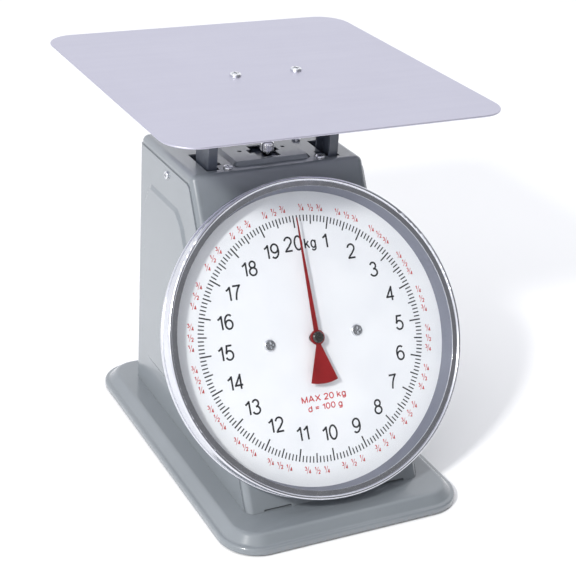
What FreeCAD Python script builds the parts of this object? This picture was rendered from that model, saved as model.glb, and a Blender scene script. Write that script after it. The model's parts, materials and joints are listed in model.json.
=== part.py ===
import FreeCAD, Part
import math
import os
from FreeCAD import Placement, Rotation, Vector

# Mechanical dial platform scale, in millimetres.
# +Z is up, the dial faces -Y, +X is to the right of a person reading the dial.
# The origin is the centre of the base's footprint, on the surface that it stands on.

# ---- driving dimensions -------------------------------------------------------------------

# Base pan
base_width = 187.6
base_depth = 277.6
base_corner = 28.0
base_top = 12.8
base_sheet = 1.2
base_lift = 1.6             # gap between the skirt's lower edge and the floor
skirt_run = 9.5             # plan width of the sloping skirt
skirt_bead = 3.2            # plan width of the rolled bead at its foot
bead_top = 6.2

# Housing
house_half = 69.0           # half width of the front and top shell
house_back = 107.5
house_top = 220.0
notch_inner = 35.0          # drain notches in the front panel's lower edge
notch_outer = 56.5
notch_height = 1.3
shell_sheet = 1.0
shell_bend = 5.0            # bend radius along the front, top and back
rim_bend = 4.9              # bend radius along both sides
shell_flange = 15.0         # width of the flange that the rear shell covers
front_offset = 8.1          # the front panel lies this far behind the dial's face
rear_edge_back = 4.5        # the rear shell stops this far behind the front panel
rear_edge_drop = 6.8        # and this far below the top panel
pad_rise = 1.6
pad_bevel = 3.0
plateau_half = 31.0
plateau_front = 21.5
plateau_back = 96.0
plateau_rise = 2.6
top_screw_gap = 6.0         # from the plateau's side to the top screws
top_screw_front = 20.0
top_screw_back = 59.0
side_screw_y = 52.0
side_screw_drop = 13.0      # below the top panel
back_screw_drop = 12.0
tooling_hole_x = 17.5
tooling_hole_y = 43.0
tooling_hole_radius = 1.6
opening_half = 12.0         # the zero knob's T-shaped opening
opening_front = 27.0
opening_back = 51.0
opening_stem_half = 8.5
opening_arm_front = 37.0
opening_arm_back = 44.0

# Dial
dial_y = -57.0
dial_lift = 1.409           # gap between the base's top and the dial case
dial_tilt = 30.0            # the dial leans back from upright by this angle
dial_rim = 6.4              # the dial plate stops this far inside the case
dial_sheet = 0.8
view_rim = 7.2
case_radius = 112.4
case_front = 8.0            # heights above the dial's face, along the dial axis
case_sheet = 0.9
gasket_thick = 0.7
lens_thick = 1.5
gasket_width = 3.4
support_sheet = 0.9
surround_sheet = 0.6
bezel_sheet = 0.9
bezel_bead = 1.5
bezel_hem = 0.8             # radius of the rolled edge at the back of the skirt
bezel_lip = 5.0             # the lip covers this much of the lens inside the case
bezel_skirt_back = -2.5
dial_post_x = 34.8
dial_post_radius = 4.0
dial_screw_head = 4.3
needle_height = 5.6         # above the dial's face
needle_sheet = 0.7
needle_root_half = 1.9
needle_tip_half = 0.35
needle_end = 20.0           # from the needle's tip to the dial plate's rim
needle_tail = 33.0
tail_half_angle = 18.7
hub_radius = 5.4
hub_rise = 0.5
collar_radius = 2.8
cap_radius = 4.2
cap_height = 2.1

# Weighing platform and its carrier
platform_width = 250.0
platform_depth = 257.0
platform_corner = 22.6
platform_rise = 60.6        # above the top panel, with no load
platform_sheet = 1.2
platform_edge = 0.5
platform_y = 42.0
platform_screw_x = 24.0
leg_half = 52.0             # outer faces of the carrier's legs
leg_front = 21.0
leg_depth = 22.0
leg_flange = 7.0
carrier_sheet = 2.0
leg_bottom_rise = 37.2      # above the base's top
stirrup_rise = 2.0          # above the legs' lower ends
stirrup_thick = 3.0
slot_gap = 1.5              # clearance round a leg in the top panel
slot_tail = 11.0            # the slot runs this much further back than the leg

# Movement
pinion_teeth = 16
gear_module = 0.5
pressure_angle = 20.0
tooth_height = 0.8          # addendum, in modules
backlash = 0.12
spindle_radius = 1.5
running_gap = 0.05
spindle_hole = 3.6          # in the dial plate and the case
bush_radius = 3.5
bush_stand = 0.8            # the bushes stand this far out of the plates
pinion_centre_h = -29.0
pinion_face = 5.0
rack_thick = 3.0
rack_width = 6.0
rack_pin_w = -42.0
rack_pin_radius = 1.5
plate_sheet = 1.6
front_plate_h = -16.0
rear_plate_h = -44.0
plate_half_w = 22.0
rear_plate_half_x = 20.0
front_plate_half_x = 42.0
front_leg_inner = 24.0
pillar_radius = 2.5
pillar_x = 15.0
pillar_w = 17.0

# Frame and parallel linkage
frame_sheet = 2.5
frame_half = 56.0
frame_back = 100.5
frame_front = -98.0
rod_y = 90.0
upper_rod_drop = 42.0       # below the top panel
lower_rod_rise = 53.2       # above the base's top
rod_radius = 2.5
arm_gap = 2.0
arm_sheet = 2.5
arm_height = 12.0
ear_gap = 2.0
stud_radius = 2.5
arm_slot_gap = 0.35
arm_slot_end = 0.4          # spare length at the ends of the arms' slots
stud_step = 0.5             # the stud is this much thinner in the leg

# Springs and zero adjustment
spring_x = 24.0
spring_radius = 7.5
spring_wire = 1.9
hanger_drop = 24.0          # below the top panel
hanger_thick = 3.0
hanger_half_x = 34.0
hanger_edge = 7.0           # from the springs and the zero rod to the bar's edges
knob_y = 34.0
knob_gap = 2.7              # above the plateau
zero_rod_radius = 2.0
zero_travel = 1.0
guide_pin_x = 12.0
guide_pin_radius = 1.5
knob_radius = 5.2
knob_height = 7.5
knob_flutes = 18
flute_radius = 0.6
flute_offset = 0.35         # the flutes' centres lie this far outside the knob

# Fasteners and feet
screw_radius = 1.5
bolt_radius = 2.0
shell_screw_head = 3.0      # head radius, head height and length of each screw
shell_screw_rise = 1.8
shell_screw_length = 5.0
top_screw_head = 3.4
top_screw_rise = 2.0
top_screw_length = 6.0
dial_screw_rise = 1.5
dial_screw_length = 6.0
pillar_screw_head = 2.8
pillar_screw_rise = 1.6
pillar_screw_length = 8.0
platform_screw_head = 4.2
platform_screw_rise = 1.9
platform_screw_length = 9.0
rivet_head = 2.6
rivet_rise = 1.2
nut_flats = 7.0
nut_height = 3.2
hole_gap = 0.2
foot_radius = 11.0
foot_inset = 26.0

# Cuts that go right through the scale run this far each way
far = 150.0

# ---- derived dimensions -------------------------------------------------------------------

tilt = math.radians(dial_tilt)
dial_radius = case_radius - dial_rim
dial_view_radius = case_radius - view_rim
dial_z = base_top + dial_lift + case_radius * math.cos(tilt) + front_offset * math.sin(tilt)
platform_top = house_top + platform_rise
leg_bottom = base_top + leg_bottom_rise
stirrup_z = leg_bottom + stirrup_rise
upper_rod_z = house_top - upper_rod_drop
lower_rod_z = base_top + lower_rod_rise
hanger_z = house_top - hanger_drop
dial_normal = Vector(0, -math.cos(tilt), math.sin(tilt))
dial_up = Vector(0, math.sin(tilt), math.cos(tilt))
dial_centre = Vector(0, dial_y, dial_z)
dial_place = Placement(dial_centre, Rotation(Vector(1, 0, 0), 90 - dial_tilt))

pitch_radius = pinion_teeth * gear_module / 2
rack_travel = 2 * math.pi * pitch_radius
carrier_travel = rack_travel * math.cos(tilt)
arm_reach = rod_y - (leg_front + leg_depth / 2)
arm_angle = math.degrees(math.atan2(carrier_travel / 2, arm_reach))
arm_length = math.hypot(arm_reach, carrier_travel / 2)

surround_top = case_front + surround_sheet
gasket_top = surround_top + gasket_thick
lens_top = gasket_top + lens_thick
rear_half = house_half + shell_sheet
platform_under = platform_top - platform_sheet
leg_back = leg_front + leg_depth
leg_mid = (leg_front + leg_back) / 2
slot_inner = leg_half - leg_flange - slot_gap
slot_outer = leg_half + slot_gap
frame_top = house_top - shell_sheet
frame_floor = base_top + frame_sheet
base_under = base_top - base_sheet
knob_base = house_top + plateau_rise + knob_gap
out_x = Vector(1, 0, 0)
out_y = Vector(0, 1, 0)
out_z = Vector(0, 0, 1)


# ---- general helpers ----------------------------------------------------------------------

def box(x0, x1, y0, y1, z0, z1):
    return Part.makeBox(x1 - x0, y1 - y0, z1 - z0, Vector(x0, y0, z0))


def rod(x, y, z, radius, length, axis=out_z):
    return Part.makeCylinder(radius, length, Vector(x, y, z), axis)


def ring(inner, outer, z0, z1):
    return rod(0, 0, z0, outer, z1 - z0).cut(rod(0, 0, z0 - 1, inner, z1 - z0 + 2))


def fuse(shapes):
    joined = shapes[0].multiFuse(shapes[1:]) if len(shapes) > 1 else shapes[0]
    return joined.removeSplitter()


def group(shapes):
    return Part.makeCompound(shapes)


def mirror_x(shape):
    return shape.mirror(Vector(0, 0, 0), out_x)


def on_dial(shape):
    """Places a shape that is built with X across, Y up the dial and Z out of its face."""
    placed = shape.copy()
    placed.Placement = dial_place.multiply(placed.Placement)
    return placed


def dial_point(x, up, out):
    return dial_centre + Vector(x, 0, 0) + dial_up * up + dial_normal * out


def rounded_wire(points, radii):
    """A closed wire through the points, with each corner rounded by its own radius."""
    count = len(points)
    starts = []
    edges = []
    for i, corner in enumerate(points):
        before = (points[i - 1] - corner).normalize()
        after = (points[(i + 1) % count] - corner).normalize()
        radius = radii[i]
        if radius <= 0:
            starts.append((corner, corner))
            continue
        half = before.getAngle(after) / 2
        reach = radius / math.tan(half)
        middle = (before + after).normalize()
        centre = corner + middle * (radius / math.sin(half))
        entry = corner + before * reach
        leave = corner + after * reach
        edges.append(Part.Arc(entry, centre - middle * radius, leave).toShape())
        starts.append((entry, leave))
    for i in range(count):
        a = starts[i][1]
        b = starts[(i + 1) % count][0]
        if a.distanceToPoint(b) > 1e-6:
            edges.append(Part.makeLine(a, b))
    return Part.Wire(Part.__sortEdges__(edges))


def rounded_face(points, radii):
    return Part.Face(rounded_wire(points, radii))


def rectangle_points(x0, x1, y0, y1, z=0.0):
    return [Vector(x0, y0, z), Vector(x1, y0, z), Vector(x1, y1, z), Vector(x0, y1, z)]


def slab(x0, x1, y0, y1, z0, z1, corner):
    """A plate with rounded vertical corners."""
    face = rounded_face(rectangle_points(x0, x1, y0, y1, z0), [corner] * 4)
    return face.extrude(Vector(0, 0, z1 - z0))


def inset_points(points, distance):
    """Moves each side of a closed counter-clockwise outline in the XY plane inwards."""
    count = len(points)
    moved = []
    for i in range(count):
        a = points[i - 1]
        b = points[i]
        c = points[(i + 1) % count]
        first = (b - a).normalize()
        second = (c - b).normalize()
        turn = first.x * second.y - first.y * second.x
        n1 = Vector(-first.y, first.x, 0)
        n2 = Vector(-second.y, second.x, 0)
        gap = (n2 - n1) * distance
        along = (gap.x * second.y - gap.y * second.x) / turn
        moved.append(b + n1 * distance + first * along)
    return moved


def pressed_pad(points, corner, rise, bevel):
    """The solid of a panel pressed out along +Z, with bevelled sides."""
    low = rounded_wire(points, [corner] * len(points))
    top_points = [p + Vector(0, 0, rise) for p in inset_points(points, bevel)]
    high = rounded_wire(top_points, [max(corner - bevel, 1.0)] * len(points))
    return Part.makeLoft([low, high], True, True)


def pressed_block(width, depth, corner, section, radii):
    """A block whose sides follow a section of (inset from the outline, height) points."""
    closed = section + [(corner, section[-1][1]), (corner, section[0][1])]
    radii = radii + [0, 0]
    points = [Vector(corner - inset, 0, height) for inset, height in closed]
    face = rounded_face(points, radii)
    long_x = width - 2 * corner
    long_y = depth - 2 * corner
    pieces = [box(-long_x / 2, long_x / 2, -long_y / 2, long_y / 2, section[0][1], section[-1][1])]
    for turn, length, side in ((0, long_y, long_x), (90, long_x, long_y),
                               (180, long_y, long_x), (270, long_x, long_y)):
        run = face.extrude(Vector(0, length, 0))
        run.translate(Vector(side / 2, -length / 2, 0))
        bend = face.revolve(Vector(0, 0, 0), out_z, 90)
        bend.translate(Vector(side / 2, length / 2, 0))
        for piece in (run, bend):
            piece.rotate(Vector(0, 0, 0), out_z, turn)
            pieces.append(piece)
    return fuse(pieces)


def shifted_section(section, distance):
    """The same section, moved inwards by the sheet's thickness."""
    moved = []
    count = len(section)
    for i in range(count):
        point = Vector(section[i][0], section[i][1], 0)
        before = Vector(section[max(i - 1, 0)][0], section[max(i - 1, 0)][1], 0)
        after = Vector(section[min(i + 1, count - 1)][0], section[min(i + 1, count - 1)][1], 0)
        first = (point - before) if i > 0 else (after - point)
        second = (after - point) if i < count - 1 else (point - before)
        first.normalize()
        second.normalize()
        n1 = Vector(first.y, -first.x, 0)
        n2 = Vector(second.y, -second.x, 0)
        middle = (n1 + n2).normalize()
        shifted = point + middle * (distance / middle.dot(n1))
        moved.append((shifted.x, shifted.y))
    return moved


def screw(x, y, z, radius, head_radius, head_height, length, axis=out_z, cross=True):
    """A pan head screw. Its head stands on the point, along the axis, and its shank goes down."""
    head = Part.makeCylinder(head_radius, head_height)
    head = head.makeFillet(head_height * 0.6, [head.Edges[0]])
    shank = rod(0, 0, -length, radius, length)
    body = head.fuse(shank)
    if cross:
        arm = head_radius * 0.62
        thin = head_radius * 0.14
        depth = head_height * 0.55
        body = body.cut(box(-arm, arm, -thin, thin, head_height - depth, head_height + 1))
        body = body.cut(box(-thin, thin, -arm, arm, head_height - depth, head_height + 1))
    body = body.removeSplitter()
    body.Placement = Placement(Vector(x, y, z), Rotation(out_z, axis))
    return body


def hexagon(x, y, z, across, height, axis=out_z, bore=0.0):
    """A hexagon nut or head. It stands on the point, along the axis."""
    radius = across / math.sqrt(3)
    corners = [Vector(radius * math.cos(math.radians(60 * i)), radius * math.sin(math.radians(60 * i)), 0)
               for i in range(6)]
    body = Part.Face(Part.makePolygon(corners + corners[:1])).extrude(Vector(0, 0, height))
    body = body.common(Part.makeCone(across / 2 * 1.06, across / 2 * 1.06 + height, height)
                       .fuse(rod(0, 0, 0, 1, height)))
    if bore > 0:
        body = body.cut(rod(0, 0, -1, bore, height + 2))
    body.Placement = Placement(Vector(x, y, z), Rotation(out_z, axis))
    return body


# ---- places that several pieces share -----------------------------------------------------

def front_panel_y(z, behind=0.0):
    """Y of the plane that lies behind the front panel's outer face by the given distance."""
    point = dial_centre - dial_normal * (front_offset + behind)
    return point.y + (z - point.z) * math.tan(tilt)


def side_outline(z0, z1, front_inset, back):
    """The housing's outline in the YZ plane, as seen from the side."""
    return [Vector(0, front_panel_y(z0, front_inset), z0), Vector(0, back, z0),
            Vector(0, back, z1), Vector(0, front_panel_y(z1, front_inset), z1)]


def foot_places():
    x = base_width / 2 - foot_inset
    y = base_depth / 2 - foot_inset
    return [(sx * x, sy * y) for sx in (-1, 1) for sy in (-1, 1)]


def frame_bolt_places():
    return [(sx * frame_half * 0.72, y) for sx in (-1, 1) for y in (frame_front + 42, frame_back - 16)]


def top_screw_places():
    x = plateau_half + top_screw_gap
    return [(sx * x, y) for sx in (-1, 1) for y in (top_screw_front, top_screw_back)]


def side_screw_places():
    return [(sx * rear_half, side_screw_y, house_top - side_screw_drop) for sx in (-1, 1)]


def back_screw_places():
    y = house_back + shell_sheet
    return [(sx * house_half * 0.7, y, house_top - back_screw_drop) for sx in (-1, 1)]


def movement_foot_places():
    x = (front_leg_inner + front_plate_half_x) / 2
    return [(sx * x, movement_foot_y()) for sx in (-1, 1)]


def movement_foot_y():
    foot = dial_point(0, 0, front_plate_h)
    return foot.y + (frame_floor - foot.z) * math.tan(tilt) + 11.0


def arm_pin(rod_z):
    """Y and Z of a link stud on the carrier, with no load."""
    return rod_y - arm_reach, rod_z + carrier_travel / 2


# ---- base ---------------------------------------------------------------------------------

def base_pan():
    section = [(0, base_lift), (0, bead_top), (skirt_bead, bead_top + 0.4), (skirt_run, base_top)]
    outer = pressed_block(base_width, base_depth, base_corner, section, [0, 1.9, 2.4, 4.5])
    inside = shifted_section(section, base_sheet)
    inside[0] = (base_sheet, base_lift - 1)
    hollow = pressed_block(base_width, base_depth, base_corner, inside, [0, 0.7, 3.6, 3.3])
    pan = outer.cut(hollow)
    for x, y in frame_bolt_places():
        pan = pan.cut(rod(x, y, 0, bolt_radius + hole_gap, base_top + 1))
    for x, y in foot_places():
        pan = pan.cut(rod(x, y, 0, screw_radius, base_top - base_sheet / 2))
    return pan


def rubber_feet():
    feet = []
    for x, y in foot_places():
        foot = Part.makeCone(foot_radius - 1.5, foot_radius, base_under, Vector(x, y, 0))
        foot = foot.cut(rod(x, y, -1, 4.0, 5.0))
        foot = foot.cut(rod(x, y, -1, screw_radius, base_under + 2))
        feet.append(foot)
    return group(feet)


def feet_screws():
    return group([screw(x, y, 4.0, screw_radius, 3.4, 2.0, base_under - 3.5, axis=Vector(0, 0, -1))
                  for x, y in foot_places()])


# ---- housing ------------------------------------------------------------------------------

def housing_block(inset, bottom):
    """The full housing as one block, with the sheet's bend radius on its edges."""
    outline = side_outline(bottom, house_top - inset, inset, house_back - inset)
    bend = shell_bend - inset
    face = rounded_face(outline, [0, 0, bend, bend])
    half = house_half - inset
    block = face.extrude(Vector(2 * half, 0, 0))
    block.translate(Vector(-half, 0, 0))
    rims = [e for e in block.Edges
            if abs(abs(e.CenterOfMass.x) - half) < 1e-6 and e.BoundBox.ZMax > bottom + 1e-6]
    return block.makeFillet(rim_bend - inset, rims)


def leg_slots():
    slots = []
    for side in (-1, 1):
        x0, x1 = sorted((side * slot_inner, side * slot_outer))
        n0, n1 = sorted((side * (slot_inner - 5), side * slot_inner))
        low = frame_top - frame_sheet - 1
        high = house_top + 1
        slots.append(box(x0, x1, leg_front - slot_gap, leg_back + slot_tail, low, high))
        slots.append(box(n0 - 0.1, n1 + 0.1, leg_front + 7, leg_front + 12, low, high))
    return slots


def zero_opening(z0, z1):
    arms = box(-opening_half, opening_half, opening_arm_front, opening_arm_back, z0, z1)
    return arms.fuse(box(-opening_stem_half, opening_stem_half, opening_front, opening_back, z0, z1))


def front_top_shell():
    shell = housing_block(0, base_top).cut(housing_block(shell_sheet, base_top - 5))
    gone = rounded_face(side_outline(base_top - 10, house_top - shell_flange, shell_flange,
                                     house_back + 20), [0, 0, 0, 0])
    shell = shell.cut(gone.extrude(Vector(2 * far, 0, 0)).translated(Vector(-far, 0, 0)))
    plateau = rectangle_points(-plateau_half, plateau_half, plateau_front, plateau_back, house_top)
    raised = pressed_pad(plateau, 4.0, plateau_rise, plateau_rise)
    lower = pressed_pad([p - Vector(0, 0, shell_sheet) for p in plateau], 4.0, plateau_rise, plateau_rise)
    shell = shell.fuse(raised).cut(lower)
    for cut in leg_slots():
        shell = shell.cut(cut)
    shell = shell.cut(zero_opening(house_top - 3, house_top + 10))
    for x, y in top_screw_places():
        shell = shell.cut(rod(x, y, house_top - 5, screw_radius, 10))
    for x in (-tooling_hole_x, tooling_hole_x):
        shell = shell.cut(rod(x, tooling_hole_y, house_top - 5, tooling_hole_radius, 20))
    for x, y, z in side_screw_places():
        shell = shell.cut(rod(-far, y, z, screw_radius, 2 * far, out_x))
    for x, y, z in back_screw_places():
        shell = shell.cut(rod(x, y - 12, z, screw_radius, 20, out_y))
    holes = [rod(0, 0, -30, 4.0, 40)]
    holes += [rod(sx * dial_post_x, 0, -30, dial_post_radius + hole_gap, 40) for sx in (-1, 1)]
    for hole in holes:
        shell = shell.cut(on_dial(hole))
    for side in (-1, 1):
        x0, x1 = sorted((side * notch_inner, side * notch_outer))
        notch_y = front_panel_y(base_top)
        shell = shell.cut(box(x0, x1, notch_y - 4, notch_y + 4, base_top - 1, base_top + notch_height))
    return shell.removeSplitter()


def side_pad_points():
    """The corners of the panel pressed into each side: X is -Y of the housing and Y is up."""
    low = base_top + 29.0
    high = house_top - 31.5
    rear = house_back - 13.0
    inset = 27.0
    return [Vector(-front_panel_y(low, inset), low, 0), Vector(-front_panel_y(high - 9, inset), high - 9, 0),
            Vector(-front_panel_y(high, inset) - 6, high, 0), Vector(-(rear - 11), high, 0),
            Vector(-rear, high - 17, 0), Vector(-rear, low + 12, 0), Vector(-(rear - 12), low, 0)]


def side_pads(depth):
    """Both pressed panels, with their feet at the given distance inside the shell's face."""
    pad = pressed_pad(side_pad_points(), 6.0, pad_rise, pad_bevel)
    turn = Placement(Vector(-(rear_half - depth), 0, 0),
                     Rotation(Vector(0, -1, 0), Vector(0, 0, 1), Vector(-1, 0, 0)))
    pad.Placement = turn.multiply(pad.Placement)
    return [pad, mirror_x(pad)]


def rear_side_shell():
    front = front_panel_y(base_top) - 10
    outer = rectangle_points(-rear_half, rear_half, front, house_back + shell_sheet, base_top)
    inner = rectangle_points(-house_half, house_half, front - 10, house_back, base_top - 1)
    height = house_top - rear_edge_drop - base_top
    bend = rim_bend + shell_sheet
    shell = rounded_face(outer, [0, 0, bend, bend]).extrude(Vector(0, 0, height))
    shell = shell.cut(rounded_face(inner, [0, 0, rim_bend, rim_bend]).extrude(Vector(0, 0, height + 2)))
    outline = side_outline(base_top, house_top - rear_edge_drop, rear_edge_back, house_back + 10)
    keep = rounded_face(outline, [0, 0, 0, 7.0]).extrude(Vector(200, 0, 0))
    shell = shell.common(keep.translated(Vector(-100, 0, 0)))
    for pad in side_pads(0):
        shell = shell.fuse(pad)
    for pad in side_pads(shell_sheet):
        shell = shell.cut(pad)
    for x, y, z in side_screw_places():
        shell = shell.cut(rod(-far, y, z, screw_radius, 2 * far, out_x))
    for x, y, z in back_screw_places():
        shell = shell.cut(rod(x, y - 12, z, screw_radius, 20, out_y))
    return shell.removeSplitter()


def shell_screws():
    screws = [screw(x, y, z, screw_radius, shell_screw_head, shell_screw_rise,
                    shell_screw_length, axis=out_x if x > 0 else -out_x)
              for x, y, z in side_screw_places()]
    screws += [screw(x, y, z, screw_radius, shell_screw_head, shell_screw_rise,
                     shell_screw_length, axis=out_y) for x, y, z in back_screw_places()]
    return group(screws)


def top_screws():
    return group([screw(x, y, house_top, screw_radius, top_screw_head, top_screw_rise, top_screw_length)
                  for x, y in top_screw_places()])


# ---- dial ---------------------------------------------------------------------------------

def dial_holes(shape, post_hole):
    shape = shape.cut(rod(0, 0, -30, spindle_hole, 60))
    for sx in (-1, 1):
        shape = shape.cut(rod(sx * dial_post_x, 0, -30, post_hole, 60))
    return shape


def dial_case():
    block = rod(0, 0, -front_offset, case_radius, front_offset + case_front)
    hollow = rod(0, 0, case_sheet - front_offset, case_radius - case_sheet, front_offset + case_front)
    return on_dial(dial_holes(block.cut(hollow), dial_post_radius + hole_gap))


def dial_support_ring():
    low = case_sheet - front_offset
    web = ring(dial_radius - 9, dial_radius - 8, low, -dial_sheet)
    flange = ring(dial_radius - 9, dial_radius, -dial_sheet - support_sheet, -dial_sheet)
    foot = ring(dial_radius - 18, dial_radius - 8, low, low + support_sheet)
    return on_dial(fuse([web, flange, foot]))


def dial_plate():
    plate = rod(0, 0, -dial_sheet, dial_radius, dial_sheet)
    return on_dial(dial_holes(plate, screw_radius))


def revolved(points):
    face = Part.Face(Part.makePolygon(points + points[:1]))
    return face.revolve(Vector(0, 0, 0), out_z, 360)


def dial_surround():
    low_r = dial_view_radius
    high_r = case_radius - case_sheet - 1.2
    flange_r = case_radius - 0.1
    points = [Vector(low_r, 0, 0), Vector(low_r + surround_sheet, 0, 0),
              Vector(high_r + surround_sheet, 0, case_front), Vector(flange_r, 0, case_front),
              Vector(flange_r, 0, surround_top), Vector(high_r, 0, surround_top)]
    return on_dial(revolved(points))


def lens_gasket():
    return on_dial(ring(case_radius - gasket_width, case_radius, surround_top, gasket_top))


def lens():
    plate = rod(0, 0, gasket_top, case_radius, lens_thick)
    return on_dial(plate.makeFillet(0.3, [plate.Edges[0]]))


def bezel_ring():
    skirt = ring(case_radius, case_radius + bezel_sheet, bezel_skirt_back, lens_top)
    lip = ring(case_radius - bezel_lip, case_radius + bezel_sheet, lens_top, lens_top + bezel_sheet)
    bead_r = case_radius + bezel_sheet - bezel_bead / 2
    bead = Part.makeTorus(bead_r, bezel_bead)
    bead.translate(Vector(0, 0, lens_top + bezel_sheet - 0.3))
    bead = bead.cut(ring(case_radius - 12, case_radius, lens_top - 4, lens_top))
    hem = Part.makeTorus(case_radius + bezel_sheet, bezel_hem)
    hem.translate(Vector(0, 0, bezel_skirt_back + bezel_hem))
    hem = hem.cut(rod(0, 0, bezel_skirt_back - 5, case_radius, 12))
    return on_dial(fuse([skirt, lip, bead, hem]))


def dial_posts():
    low = front_plate_h + plate_sheet
    posts = []
    for sx in (-1, 1):
        post = rod(sx * dial_post_x, 0, low, dial_post_radius, -dial_sheet - low)
        posts.append(on_dial(post.cut(rod(sx * dial_post_x, 0, -7, screw_radius, 20))))
    return group(posts)


def dial_screws():
    return group([on_dial(screw(sx * dial_post_x, 0, 0, screw_radius, dial_screw_head,
                                dial_screw_rise, dial_screw_length)) for sx in (-1, 1)])


# ---- movement -----------------------------------------------------------------------------

def involute(radius, angle):
    return (radius * (math.cos(angle) + angle * math.sin(angle)),
            radius * (math.sin(angle) - angle * math.cos(angle)))


def pinion_outline():
    """Sixteen involute teeth. A tooth's mid line lies on +X."""
    base_radius = pitch_radius * math.cos(math.radians(pressure_angle))
    tip_radius = pitch_radius + tooth_height * gear_module
    root_radius = pitch_radius - (tooth_height + 0.25) * gear_module
    inv_pitch = math.tan(math.radians(pressure_angle)) - math.radians(pressure_angle)
    half_tooth = math.pi / (2 * pinion_teeth) - backlash / (4 * pitch_radius)
    steps = 5
    flank = []
    for i in range(steps + 1):
        radius = base_radius + (tip_radius - base_radius) * i / steps
        roll = math.sqrt(max((radius / base_radius) ** 2 - 1, 0))
        x, y = involute(base_radius, roll)
        flank.append((radius, half_tooth + inv_pitch - math.atan2(y, x)))
    points = []
    for tooth in range(pinion_teeth):
        middle = 2 * math.pi * tooth / pinion_teeth
        lower = [(root_radius, flank[0][1])] + flank
        polar = [(r, middle - a) for r, a in lower] + [(r, middle + a) for r, a in reversed(lower)]
        points += [Vector(r * math.cos(a), r * math.sin(a), 0) for r, a in polar]
    return points


def pinion():
    outline = pinion_outline()
    low = pinion_centre_h - pinion_face / 2
    body = Part.Face(Part.makePolygon(outline + outline[:1])).extrude(Vector(0, 0, pinion_face))
    body.translate(Vector(0, 0, low))
    hub = rod(0, 0, low + pinion_face, pitch_radius - 1, 4)
    return on_dial(body.fuse(hub).cut(rod(0, 0, low - 1, spindle_radius, pinion_face + 8)).removeSplitter())


def rack():
    """A toothed bar on the pinion's right. A gap between two teeth faces the pinion's mid line."""
    pitch = math.pi * gear_module
    slope = math.tan(math.radians(pressure_angle))
    add = tooth_height * gear_module
    root_x = pitch_radius + (tooth_height + 0.25) * gear_module
    back_x = pitch_radius + rack_width
    half_gap_tip = pitch / 4 + backlash / 4 + add * slope
    half_gap_root = pitch / 4 + backlash / 4 - (root_x - pitch_radius) * slope
    below = -3
    above = pinion_teeth + 3
    points = [Vector(root_x, rack_pin_w - 5, 0), Vector(back_x, rack_pin_w - 5, 0),
              Vector(back_x, (above + 1) * pitch, 0), Vector(root_x, (above + 1) * pitch, 0)]
    for index in range(above, below - 1, -1):
        middle = index * pitch
        points += [Vector(pitch_radius - add, middle + pitch - half_gap_tip, 0)] if index == above else []
        points += [Vector(pitch_radius - add, middle + half_gap_tip, 0),
                   Vector(root_x, middle + half_gap_root, 0),
                   Vector(root_x, middle - half_gap_root, 0),
                   Vector(pitch_radius - add, middle - half_gap_tip, 0)]
    points += [Vector(pitch_radius - add, (below - 1) * pitch + half_gap_tip, 0),
               Vector(root_x, (below - 1) * pitch + half_gap_root, 0)]
    bar = Part.Face(Part.makePolygon(points + points[:1])).extrude(Vector(0, 0, rack_thick))
    bar.translate(Vector(0, 0, pinion_centre_h - rack_thick / 2))
    return on_dial(bar).cut(rack_pin_shape(rack_pin_radius))


def rack_pin_shape(radius):
    start = dial_point(pitch_radius + 2, rack_pin_w, pinion_centre_h)
    return rod(start.x, start.y, start.z, radius, rack_arm_x() + carrier_sheet + 1 - start.x, out_x)


def rack_arm_x():
    return pitch_radius + rack_width + 1.5


def rack_pin():
    return rack_pin_shape(rack_pin_radius)


def spindle():
    low = rear_plate_h - 2
    shaft = rod(0, 0, low, spindle_radius, 7.4 - low)
    return on_dial(shaft)


def needle():
    """A slim pointer with a hub and a fan-shaped tail. It points at zero with no load."""
    low = needle_height
    high = low + needle_sheet
    tip = dial_radius - needle_end
    blade = [Vector(-needle_root_half, 0, low), Vector(needle_root_half, 0, low),
             Vector(needle_tip_half, tip, low), Vector(-needle_tip_half, tip, low)]
    pointer = Part.Face(Part.makePolygon(blade + blade[:1])).extrude(Vector(0, 0, needle_sheet))
    fan = tail_sector(2, needle_tail, tail_half_angle, low, high)
    hub = rod(0, 0, low, hub_radius, needle_sheet + hub_rise)
    collar = rod(0, 0, 1.5, collar_radius, low - 1.0)
    return on_dial(fuse([pointer, fan, hub, collar]).cut(rod(0, 0, 0, spindle_radius, 20)))


def tail_sector(inner, outer, half_angle, z0, z1):
    fan = Part.makeCylinder(outer, z1 - z0, Vector(0, 0, z0), out_z, 2 * half_angle)
    fan.rotate(Vector(0, 0, 0), out_z, -90 - half_angle)
    return fan.cut(rod(0, 0, z0 - 1, inner, z1 - z0 + 2))


def needle_counterweight():
    outer = needle_tail - 1.5
    return on_dial(tail_sector(outer - 6.5, outer, 16.0, needle_height - 1.2, needle_height))


def needle_cap():
    low = needle_height + needle_sheet + hub_rise
    cap = rod(0, 0, low, cap_radius, cap_height)
    cap = cap.makeFillet(1.4, [cap.Edges[0]])
    return on_dial(cap.cut(rod(0, 0, low - 1, spindle_radius, 1.6)))


def plate_holes(shape):
    """The spindle's bush hole and the four pillar screws' holes."""
    shape = shape.cut(rod(0, 0, -far, bush_radius, 2 * far))
    for x, w in pillar_places():
        shape = shape.cut(rod(x, w, -far, screw_radius, 2 * far))
    return shape


def pillar_places():
    return [(sx * pillar_x, sw * pillar_w) for sx in (-1, 1) for sw in (-1, 1)]


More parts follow.
